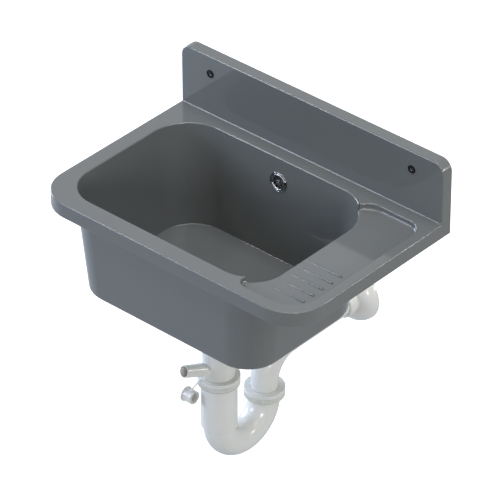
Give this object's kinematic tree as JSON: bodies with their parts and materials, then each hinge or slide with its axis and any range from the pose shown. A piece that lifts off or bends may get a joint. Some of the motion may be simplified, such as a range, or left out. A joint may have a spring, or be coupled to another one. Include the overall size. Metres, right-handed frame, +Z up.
{
  "type": "wall-hung utility sink",
  "caption": "Wall-hung utility sink: deep rectangular bowl, splashback, side drainer shelf, overflow and a tubular trap with a hose spigot.",
  "frame": {"origin": "on the wall face, mid-width, level with the top of the rim", "axes": "+X to the right when facing the sink, +Y into the wall, +Z up; the user stands at -Y"},
  "size_m": [0.5, 0.486, 0.5823],
  "materials": {
    "basin_plastic": "dark grey moulded plastic, satin gloss",
    "trap_plastic": "pale grey polypropylene, soft gloss",
    "black_rubber": "matt black rubber",
    "seal_rubber": "dark grey rubber",
    "hose_plastic": "grey flexible plastic",
    "chrome": "bright chrome plate",
    "steel": "brushed stainless steel"
  },
  "bodies": {
    "sink": {"basin": "basin_plastic", "fixing_grommets": "black_rubber", "fixing_sleeves": "steel", "overflow_rosette": "chrome", "overflow_screw": "chrome", "overflow_seal": "seal_rubber", "overflow_elbow": "trap_plastic", "hose_upper_cuff": "black_rubber", "overflow_hose": "hose_plastic", "hose_lower_cuff": "black_rubber", "waste_strainer": "steel", "waste_screw": "steel", "upper_seal": "seal_rubber", "lower_seal": "seal_rubber", "waste_body": "trap_plastic", "tail_washer": "seal_rubber", "spigot_tube": "trap_plastic"},
    "plug": {"sink_plug": "black_rubber"},
    "hose_union": {"hose_nut": "trap_plastic"},
    "tail_union": {"tail_nut": "trap_plastic"},
    "cap": {"spigot_cap": "trap_plastic"},
    "trap": {"trap_bend": "trap_plastic", "inlet_seal": "seal_rubber", "outlet_seal": "seal_rubber"},
    "inlet_union": {"inlet_nut": "trap_plastic"},
    "outlet_union": {"outlet_nut": "trap_plastic"},
    "outlet": {"outlet_elbow": "trap_plastic"},
    "flange": {"wall_flange": "trap_plastic"}
  },
  "joints": [
    {"name": "plug_lift", "type": "slide", "parent": "sink", "child": "plug", "axis": [0, 0, 1], "range_m": [0, 0.08]},
    {"name": "hose_nut_turn", "type": "hinge", "parent": "sink", "child": "hose_union", "pos_m": [-0.03665, -0.128, -0.2], "axis": [0, 1, 0], "range_deg": [0, 1080]},
    {"name": "tail_nut_turn", "type": "hinge", "parent": "sink", "child": "tail_union", "pos_m": [-0.03665, -0.1779, -0.238], "axis": [0, 0, -1], "range_deg": [0, 1080]},
    {"name": "cap_swing", "type": "hinge", "parent": "sink", "child": "cap", "pos_m": [-0.04311, -0.20967, -0.30688], "axis": [-1, 0, 0], "range_deg": [0, 75]},
    {"name": "trap_swivel", "type": "hinge", "parent": "sink", "child": "trap", "pos_m": [-0.03665, -0.1779, -0.36], "axis": [0, 0, 1], "range_deg": [-90, 90]},
    {"name": "inlet_nut_turn", "type": "hinge", "parent": "trap", "child": "inlet_union", "pos_m": [-0.03665, -0.1779, -0.322], "axis": [0, 0, 1], "range_deg": [0, 1080]},
    {"name": "outlet_nut_turn", "type": "hinge", "parent": "trap", "child": "outlet_union", "pos_m": [-0.03665, -0.0759, -0.399], "axis": [0, 0, 1], "range_deg": [0, 1080]},
    {"name": "outlet_swivel", "type": "hinge", "parent": "trap", "child": "outlet", "pos_m": [-0.03665, -0.0759, -0.39], "axis": [0, 0, 1], "range_deg": [-90, 90]},
    {"name": "flange_slide", "type": "slide", "parent": "outlet", "child": "flange", "axis": [0, -1, 0], "range_m": [0, 0.11]}
  ]
}
